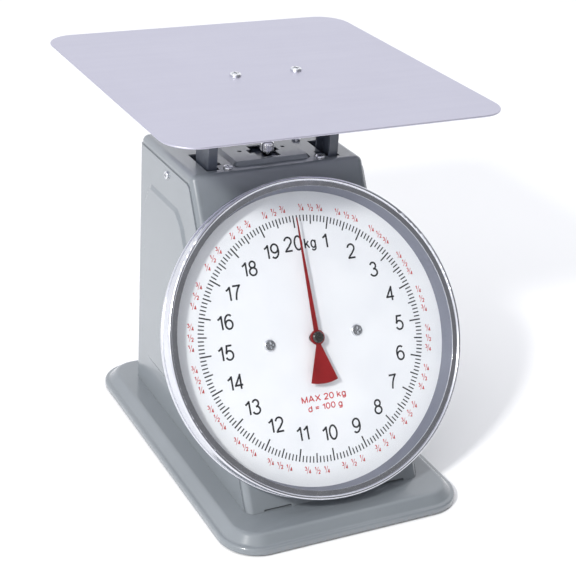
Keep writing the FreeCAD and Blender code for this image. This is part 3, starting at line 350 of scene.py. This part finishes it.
def brass():
    """Turned brass, tarnished in patches."""
    f = Finish("machined_brass", metallic=1.0)
    tarnish = f.spread(f.noise(2.5 * MM, 5), 0.0, 1.0, 0.35, 0.7)
    f.feed("Base Color", f.mix(tarnish, (0.78, 0.58, 0.27), (0.55, 0.38, 0.16)))
    f.feed("Roughness", f.spread(f.noise(1.2 * MM, 4), 0.18, 0.4, 0.3, 0.7))
    f.round_edges(0.12 * MM)
    f.bump(f.noise(0.3 * MM, 3), 0.004 * MM)
    return f.done()


def red_enamel():
    """Satin red on the pointer, a little browner where it's thin at its edges."""
    f = Finish("red_pointer_enamel", ior=1.45, coat=0.1, coat_roughness=0.15)
    cloud = f.spread(f.noise(9 * MM, 3), 0.0, 1.0, 0.3, 0.7)
    base = f.mix(cloud, (0.21, 0.003, 0.004), (0.27, 0.004, 0.006))
    worn = f.edges(0.35 * MM, 0.05, 0.4)
    f.feed("Base Color", f.mix(f.math("MULTIPLY", worn, 0.5), base, (0.1, 0.02, 0.018)))
    f.feed("Roughness", f.spread(f.noise(4 * MM, 4), 0.32, 0.48, 0.3, 0.7))
    f.round_edges(0.15 * MM)
    f.bump(f.noise(0.8 * MM, 2), 0.006 * MM)
    return f.done()


def black_cap():
    """Glossy moulded cap."""
    f = Finish("black_cap_plastic", ior=1.5, coat=0.5, coat_roughness=0.06)
    cloud = f.spread(f.noise(1.5 * MM, 4), 0.0, 1.0, 0.35, 0.7)
    f.feed("Base Color", f.mix(cloud, (0.016, 0.014, 0.013), (0.035, 0.03, 0.027)))
    f.feed("Roughness", f.spread(f.noise(0.8 * MM, 3), 0.16, 0.3, 0.3, 0.7))
    f.round_edges(0.2 * MM)
    f.bump(f.noise(0.9 * MM, 2), 0.01 * MM)
    return f.done()


def ink(name, thin, full):
    """Screen-printed ink: a little uneven, slightly glossier than the dial."""
    f = Finish(name, ior=1.5)
    patch = f.spread(f.noise(0.7 * MM, 4), 0.0, 1.0, 0.3, 0.75)
    f.feed("Base Color", f.mix(patch, full, thin))
    f.feed("Roughness", f.spread(f.noise(1.1 * MM, 3), 0.35, 0.55, 0.3, 0.7))
    f.bump(f.noise(0.25 * MM, 2), 0.003 * MM)
    return f.done()


def satin_ring():
    """Dull grey metal of the ring between the dial plate and the lens."""
    f = Finish("satin_grey_ring", metallic=0.6, ior=1.5)
    cloud = f.spread(f.noise(40 * MM, 2), 0.0, 1.0, 0.3, 0.7)
    base = f.mix(cloud, (0.225, 0.235, 0.285), (0.25, 0.26, 0.31))
    rubbed = f.spread(f.noise(0.8 * MM, 3), 0.0, 0.12, 0.55, 0.8)
    f.feed("Base Color", f.mix(rubbed, base, (0.36, 0.37, 0.42)))
    f.feed("Roughness", f.spread(f.noise(30 * MM, 2), 0.37, 0.42, 0.3, 0.7))
    f.bump(f.noise(0.4 * MM, 2), 0.001 * MM)
    return f.done()


slot_finishes = {
    "grey_enamel": grey_enamel(),
    # dark_enamel is real dark paint on the bracket, and painted shade on the main frame seen through the
    # top plate's openings
    "dark_enamel": dark_enamel(),
    "brushed_stainless": brushed_stainless(),
    "polished_aluminium": spun_aluminium(),
    "dial_print": dial_white(),
    "clear_glass": clear_glass(),
    "black_rubber": rubber(),
    "zinc_steel": plated("bright_zinc", (0.58, 0.6, 0.64), (0.8, 0.8, 0.82), 0.16, 0.36),
    "pressed_steel": plated("dull_zinc_sheet", (0.4, 0.42, 0.45), (0.56, 0.57, 0.6), 0.3, 0.5, 1.2 * MM),
    "spring_steel": plated("oiled_spring_steel", (0.34, 0.34, 0.36), (0.5, 0.5, 0.52), 0.22, 0.4),
    "nickel": plated("nickel_plate", (0.72, 0.72, 0.74), (0.84, 0.84, 0.85), 0.08, 0.2),
    "brass": brass(),
    "red_enamel": red_enamel(),
    "black_plastic": black_cap(),
}


def finish_frame():
    """Gives each node of the frame the finish of its slot in the record."""
    satin = satin_ring()
    for part in frame["record"]["subparts"]:
        node = nodes_by_name[part["node"]]
        finish = satin if part["node"] == "dial_surround" else slot_finishes[part["material_slot"]]
        node.data.materials.clear()
        node.data.materials.append(finish)
        for held in node.material_slots:
            held.material = finish


finish_frame()


# ---- dial printing --------------------------------------------------------------------------

PRINT_LIFT = 0.002 * MM             # keeps the ink's underside just off the dial's face
PRINT_THICK = 0.03 * MM
NUMBER_COUNT = 20
STEPS_PER_NUMBER = 10
SCALE_OUTER = 88.2 * MM
ONE_FIGURE_RADIUS = 70.6 * MM
TWO_FIGURE_RADIUS = 68.4 * MM
NUMBER_HEIGHT = 11.2 * MM
FRACTION_RADIUS = 93.6 * MM
FRACTION_DIGIT = 3.0 * MM
FRACTION_SHIFT = 1.35 * MM          # from the middle of a fraction to each of its figures
FRACTION_SLASH = Vector((1.1, 2.3)) * MM
FRACTION_PEN = 0.36 * MM
LONG_MARK = (8.9 * MM, 1.05 * MM)   # length and width of each kind of mark
HALF_MARK = (6.6 * MM, 0.95 * MM)
SHORT_MARK = (4.5 * MM, 0.88 * MM)
TOP_NUMBER_X = -3.4 * MM            # the top number shares its place with the unit
UNIT_X = 9.9 * MM
UNIT_DROP = 1.2 * MM
UNIT_SHARE = 0.72                   # of the numbers' height
UNIT_PEN = 0.14                     # a pen's width as a share of the letters' height
SMALL_PEN = 0.17
FRACTION_FIGURE_PEN = 0.19
SMALL_STRETCH = 1.35
# Words, height and height above the dial's centre of each small line
SMALL_LINES = (("MAX 20 kg", 4.8 * MM, -42.4 * MM), ("d = 100 g", 4.6 * MM, -49.2 * MM))
ARC_STEP = 12                       # degrees between an arc's points
black_ink = ink("black_dial_ink", (0.022, 0.022, 0.026), (0.006, 0.006, 0.008))
red_ink = ink("red_dial_ink", (0.66, 0.07, 0.07), (0.52, 0.03, 0.035))


def arc(x, y, wide, high, start, stop):
    """Points along part of an ellipse. Angles are in degrees, anticlockwise from the right."""
    count = max(3, round(abs(stop - start) / ARC_STEP))
    turns = [math.radians(start + (stop - start) * k / count) for k in range(count + 1)]
    return [(x + wide * math.cos(t), y + high * math.sin(t)) for t in turns]


# Each figure or letter is a few pen strokes in a box that is one unit high, and the box's width.
STROKES = {
    "0": (0.56, [arc(0.28, 0.5, 0.28, 0.5, 0, 360)]),
    "1": (0.30, [[(0.30, 0), (0.30, 1)], [(0.30, 0.97), (0.22, 0.87), (0.12, 0.79), (0.0, 0.73)]]),
    "2": (0.56, [arc(0.28, 0.72, 0.265, 0.28, 172, -32)
                 + [(0.30, 0.30), (0.12, 0.14), (0.03, 0), (0.56, 0)]]),
    "3": (0.54, [arc(0.25, 0.755, 0.225, 0.245, 162, -90), arc(0.26, 0.265, 0.28, 0.265, 95, -162)]),
    "4": (0.58, [[(0.42, 0), (0.42, 1), (0.0, 0.28), (0.58, 0.28)]]),
    "5": (0.55, [[(0.52, 1), (0.13, 1), (0.055, 0.50)] + arc(0.265, 0.32, 0.285, 0.32, 140, -158)]),
    "6": (0.56, [arc(0.29, 0.31, 0.27, 0.31, 0, 360), arc(0.32, 0.5, 0.32, 0.5, 52, 200)]),
    "7": (0.54, [[(0, 1), (0.54, 1), (0.38, 0.76), (0.26, 0.48), (0.20, 0.22), (0.17, 0)]]),
    "8": (0.55, [arc(0.275, 0.77, 0.22, 0.23, 0, 360), arc(0.275, 0.27, 0.275, 0.27, 0, 360)]),
    "9": (0.56, [arc(0.27, 0.69, 0.27, 0.31, 0, 360), arc(0.24, 0.5, 0.32, 0.5, -128, 20)]),
    "M": (0.74, [[(0, 0), (0, 1), (0.37, 0.08), (0.74, 1), (0.74, 0)]]),
    "A": (0.76, [[(0, 0), (0.38, 1), (0.76, 0)], [(0.13, 0.33), (0.63, 0.33)]]),
    "X": (0.70, [[(0, 0), (0.70, 1)], [(0, 1), (0.70, 0)]]),
    "k": (0.46, [[(0, 0), (0, 1)], [(0, 0.30), (0.42, 0.72)], [(0.15, 0.45), (0.46, 0)]]),
    "g": (0.48, [arc(0.24, 0.36, 0.24, 0.37, 0, 360),
                 [(0.48, 0.74)] + arc(0.25, -0.03, 0.23, 0.25, 0, -155)]),
    "d": (0.48, [arc(0.24, 0.36, 0.24, 0.37, 0, 360), [(0.48, 1), (0.48, 0)]]),
    "=": (0.50, [[(0, 0.36), (0.50, 0.36)], [(0, 0.64), (0.50, 0.64)]]),
    " ": (0.12, []),
}
LETTER_GAP = 0.24                   # in letter heights
SHARP_CORNER = 0.6                  # a pen line is broken where the cosine of its turn is below this
CORNER_OVERLAP = 0.45               # broken runs cross by this many pen widths
CLOSED_GAP = 0.01                   # ends nearer than this many pen widths are joined


class Print:
    """Gathers flat shapes drawn in dial coordinates, and makes one printed piece of them."""

    def __init__(self, name, finish):
        self.name = name
        self.finish = finish
        self.bm = bmesh.new()

    def add_words(self, words, height, x, up, weight=0.12, stretch=1.0):
        """Words centred on a point. weight is the pen's width as a share of the figures' height."""
        tall = height * (1 - weight)
        gap = LETTER_GAP * tall * stretch
        widths = [STROKES[letter][0] * tall * stretch for letter in words]
        place = x - (sum(widths) + gap * (len(words) - 1)) / 2
        for letter, width in zip(words, widths):
            for stroke in STROKES[letter][1]:
                points = [(place + px * tall * stretch, up + (py - 0.5) * tall) for px, py in stroke]
                self.add_line([Vector(p) for p in points], height * weight)
            place += width + gap

    def add_line(self, points, width):
        """A pen line of an even width. It's drawn as one run between each pair of sharp corners."""
        run = [points[0]]
        for before, point, after in zip(points, points[1:], points[2:]):
            run.append(point)
            if (point - before).normalized().dot((after - point).normalized()) < SHARP_CORNER:
                overlap = width * CORNER_OVERLAP
                self.add_run(run[:-1] + [point + (point - before).normalized() * overlap], width)
                run = [point - (after - point).normalized() * overlap]
        self.add_run(run + [points[-1]], width)

    def add_run(self, points, width):
        """A strip along some points that has no sharp corner. It closes if its ends meet."""
        closed = len(points) > 3 and (points[0] - points[-1]).length < width * CLOSED_GAP
        if closed:
            points = points[:-1]
        count = len(points)
        pairs = []
        for index, point in enumerate(points):
            ahead = points[(index + 1) % count] if closed or index < count - 1 else point
            behind = points[index - 1] if closed or index else point
            along = (ahead - behind).normalized()
            side = Vector((-along.y, along.x)) * width / 2
            pairs.append([self.bm.verts.new((*(point + side * way), 0)) for way in (1, -1)])
        for first, second in zip(pairs, pairs[1:] + pairs[:1] if closed else pairs[1:]):
            self.bm.faces.new((first[0], first[1], second[1], second[0]))

    def make(self):
        """Turns the flat shapes into ink of an even thickness on the dial's face."""
        faces = self.bm.faces[:]
        for face in faces:
            face.normal_update()
            if face.normal.z < 0:
                face.normal_flip()
        lifted = bmesh.ops.extrude_face_region(self.bm, geom=faces, use_keep_orig=False)
        moved = [g for g in lifted["geom"] if isinstance(g, bmesh.types.BMVert)]
        bmesh.ops.translate(self.bm, verts=moved, vec=(0, 0, PRINT_THICK))
        mesh = bpy.data.meshes.new(self.name)
        self.bm.to_mesh(mesh)
        self.bm.free()
        mesh.transform(dial_matrix(PRINT_LIFT))
        mesh.materials.append(self.finish)
        made = bpy.data.objects.new(self.name, mesh)
        scene.collection.objects.link(made)
        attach(made, "frame")
        return made


def clock(share, radius):
    """A point at a share of a full turn, clockwise from the top of the dial."""
    turn = 2 * math.pi * share
    return Vector((math.sin(turn), math.cos(turn))) * radius


def print_graduations():
    marks = Print("dial_graduations", black_ink)
    total = NUMBER_COUNT * STEPS_PER_NUMBER
    for step in range(total):
        if step % STEPS_PER_NUMBER == 0:
            length, width = LONG_MARK
        elif step % (STEPS_PER_NUMBER // 2) == 0:
            length, width = HALF_MARK
        else:
            length, width = SHORT_MARK
        share = step / total
        marks.add_line([clock(share, SCALE_OUTER - length), clock(share, SCALE_OUTER)], width)
    return marks.make()


def print_numbers():
    marks = Print("dial_numbers", black_ink)
    for number in range(1, NUMBER_COUNT):
        radius = ONE_FIGURE_RADIUS if number < 10 else TWO_FIGURE_RADIUS
        spot = clock(number / NUMBER_COUNT, radius)
        marks.add_words(str(number), NUMBER_HEIGHT, spot.x, spot.y)
    marks.add_words(str(NUMBER_COUNT), NUMBER_HEIGHT, TOP_NUMBER_X, TWO_FIGURE_RADIUS)
    marks.add_words("kg", NUMBER_HEIGHT * UNIT_SHARE, UNIT_X, TWO_FIGURE_RADIUS - UNIT_DROP, UNIT_PEN)
    return marks.make()


def print_fractions():
    """Small upright quarter, half and three-quarter marks outside the scale."""
    marks = Print("dial_fractions", red_ink)
    quarters = (("1", "4"), ("1", "2"), ("3", "4"))
    for number in range(NUMBER_COUNT):
        for index, (upper, lower) in enumerate(quarters):
            spot = clock((number + (index + 1) / 4) / NUMBER_COUNT, FRACTION_RADIUS)
            for figure, side in ((upper, -1), (lower, 1)):
                marks.add_words(figure, FRACTION_DIGIT, spot.x + side * FRACTION_SHIFT,
                                spot.y - side * FRACTION_SHIFT, FRACTION_FIGURE_PEN)
            marks.add_line([spot - FRACTION_SLASH, spot + FRACTION_SLASH], FRACTION_PEN)
    return marks.make()


def print_capacity():
    """Two red lines with the scale's range and step."""
    marks = Print("dial_capacity", red_ink)
    for words, height, up in SMALL_LINES:
        marks.add_words(words, height, 0, up, SMALL_PEN, SMALL_STRETCH)
    return marks.make()


print_graduations()
print_numbers()
print_fractions()
print_capacity()


# ---- springs --------------------------------------------------------------------------------

WIRE_RADIUS = 0.95 * MM
WIRE_SIDES = 8
COIL_PITCH = 2.06                   # in wire radii
COIL_STEPS = 18                     # points in each turn of the coil
HOOK_STEPS = 9
HOOK_SWING = math.pi * 1.25
HOOK_WIDE = 0.8                     # the hooks' width and height, in coil radii
HOOK_HIGH = 0.9


def tube_along(name, points, radius, sides, finish):
    """A round wire along a list of points."""
    bm = bmesh.new()
    rings = []
    side = Vector((1, 0, 0))
    for index, point in enumerate(points):
        ahead = points[min(index + 1, len(points) - 1)]
        behind = points[max(index - 1, 0)]
        along = (ahead - behind).normalized()
        side = (side - along * side.dot(along)).normalized()
        other = along.cross(side)
        turns = [2 * math.pi * k / sides for k in range(sides)]
        rings.append([bm.verts.new(point + (side * math.cos(t) + other * math.sin(t)) * radius)
                      for t in turns])
    for first, second in zip(rings, rings[1:]):
        for k in range(sides):
            after = (k + 1) % sides
            bm.faces.new((first[k], first[after], second[after], second[k]))
    bm.faces.new(list(reversed(rings[0])))
    bm.faces.new(rings[-1])
    bmesh.ops.recalc_face_normals(bm, faces=bm.faces[:])
    mesh = bpy.data.meshes.new(name)
    bm.to_mesh(mesh)
    bm.free()
    mesh.shade_smooth()
    mesh.materials.append(finish)
    made = bpy.data.objects.new(name, mesh)
    scene.collection.objects.link(made)
    return made


def extension_spring(node):
    """A close-wound extension spring with a hook at each end, in its node's space."""
    low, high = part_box(node)
    middle = (low + high) / 2
    radius = (high.x - low.x) / 2 - WIRE_RADIUS
    coil_low = low.z + 2 * radius
    coil_high = high.z - 2 * radius
    turns = round((coil_high - coil_low) / (COIL_PITCH * WIRE_RADIUS))

    def hook_point(step, end, way):
        swing = HOOK_SWING * step / HOOK_STEPS
        rise = radius + radius * HOOK_HIGH * math.sin(swing)
        return Vector((middle.x, middle.y - radius * math.cos(swing) * HOOK_WIDE, end + way * rise))

    points = [hook_point(HOOK_STEPS - k, coil_low, -1) for k in range(HOOK_STEPS)]
    for k in range(turns * COIL_STEPS + 1):
        turn = 2 * math.pi * k / COIL_STEPS
        height = coil_low + (coil_high - coil_low) * k / (turns * COIL_STEPS)
        across = radius * math.sin(turn)
        points.append(Vector((middle.x + across, middle.y - radius * math.cos(turn), height)))
    points += [hook_point(k, coil_high, 1) for k in range(1, HOOK_STEPS + 1)]
    made = tube_along(node + "_coil", points, WIRE_RADIUS, WIRE_SIDES, slot_finishes["spring_steel"])
    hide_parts(node)
    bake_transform(made)
    return made


extension_spring("left_spring")
extension_spring("right_spring")


# ---- studio ---------------------------------------------------------------------------------

FLOOR_REACH = 40.0
FLECK_SIZE = 0.4
SOFT_WHITE = (0.955, 0.965, 1.0, 1)
WALL_WAY = Vector((0.66, -0.72, 0.2)).normalized()
WALL_EDGE = (0.4, 0.92)             # the wall's shade begins and ends at these cosines
SOFT_STRENGTH = 1.22
WALL_STRENGTH = 0.22
KEY_PLACE = Vector((-1.015, -0.732, 1.056))
KEY_AIM = Vector((0, -0.03, 0.12))
KEY_SIZE = 0.14
KEY_POWER = 16.0
KEY_COLOUR = (1.0, 0.995, 0.97)
CAMERA_PLACE = Vector((-0.43609, -0.82692, 0.57826))
CAMERA_TURN = (26.7545, -26.4311, 3.2733)   # yaw, pitch and roll in degrees
CAMERA_LENS = 87.71
CAMERA_SHIFT = (0.0570, 0.0295)


def floor():
    """Plain pale paper with a faint unevenness."""
    mesh = bpy.data.meshes.new("studio_floor")
    reach = FLOOR_REACH
    mesh.from_pydata([(-reach, -reach, 0), (reach, -reach, 0), (reach, reach, 0), (-reach, reach, 0)],
                     [], [(0, 1, 2, 3)])
    made = bpy.data.objects.new("studio_floor", mesh)
    scene.collection.objects.link(made)
    f = Finish("studio_paper", ior=1.4)
    fleck = f.spread(f.noise(FLECK_SIZE, 2), 0.0, 1.0, 0.3, 0.7)
    f.feed("Base Color", f.mix(fleck, (0.95, 0.95, 0.955), (0.965, 0.965, 0.97)))
    f.set("Roughness", 0.9)
    f.set("Specular IOR Level", 0.1)
    mesh.materials.append(f.done())


def world():
    """Soft white all round, with a dark wall in front and to the right."""
    made = bpy.data.worlds.new("studio")
    made.use_nodes = True
    tree = made.node_tree
    background = tree.nodes["Background"]
    place = tree.nodes.new("ShaderNodeTexCoord")
    facing = tree.nodes.new("ShaderNodeVectorMath")
    facing.operation = "DOT_PRODUCT"
    tree.links.new(place.outputs["Generated"], facing.inputs[0])
    facing.inputs[1].default_value = WALL_WAY
    wall = tree.nodes.new("ShaderNodeMapRange")
    wall.interpolation_type = "SMOOTHSTEP"
    wall.inputs["From Min"].default_value, wall.inputs["From Max"].default_value = WALL_EDGE
    wall.inputs["To Min"].default_value = SOFT_STRENGTH
    wall.inputs["To Max"].default_value = WALL_STRENGTH
    tree.links.new(facing.outputs["Value"], wall.inputs["Value"])
    tree.links.new(wall.outputs["Result"], background.inputs["Strength"])
    background.inputs["Color"].default_value = SOFT_WHITE
    scene.world = made


def key_light():
    """A small lamp high on the left, in front of the dial. It casts the needle's shadow."""
    data = bpy.data.lights.new("key", "AREA")
    data.shape = "RECTANGLE"
    data.size = KEY_SIZE
    data.size_y = KEY_SIZE
    data.energy = KEY_POWER
    data.color = KEY_COLOUR
    made = bpy.data.objects.new("key", data)
    made.location = KEY_PLACE
    made.rotation_euler = (KEY_AIM - KEY_PLACE).to_track_quat("-Z", "Y").to_euler()
    scene.collection.objects.link(made)


def camera():
    """A long lens from the front left, looking down."""
    data = bpy.data.cameras.new("camera")
    data.sensor_width = 36.0
    data.lens = CAMERA_LENS
    data.shift_x, data.shift_y = CAMERA_SHIFT
    made = bpy.data.objects.new("camera", data)
    yaw, pitch, roll = (math.radians(a) for a in CAMERA_TURN)
    ahead = Vector((math.sin(yaw) * math.cos(pitch), math.cos(yaw) * math.cos(pitch), math.sin(pitch)))
    level = Vector((math.cos(yaw), -math.sin(yaw), 0))
    above = level.cross(ahead)
    right = level * math.cos(roll) + above * math.sin(roll)
    up = above * math.cos(roll) - level * math.sin(roll)
    turn = Matrix((right, up, -ahead)).transposed().to_4x4()
    made.matrix_world = Matrix.Translation(CAMERA_PLACE) @ turn
    scene.collection.objects.link(made)
    scene.camera = made


floor()
world()
camera()
key_light()
scene.view_settings.view_transform = "Standard"
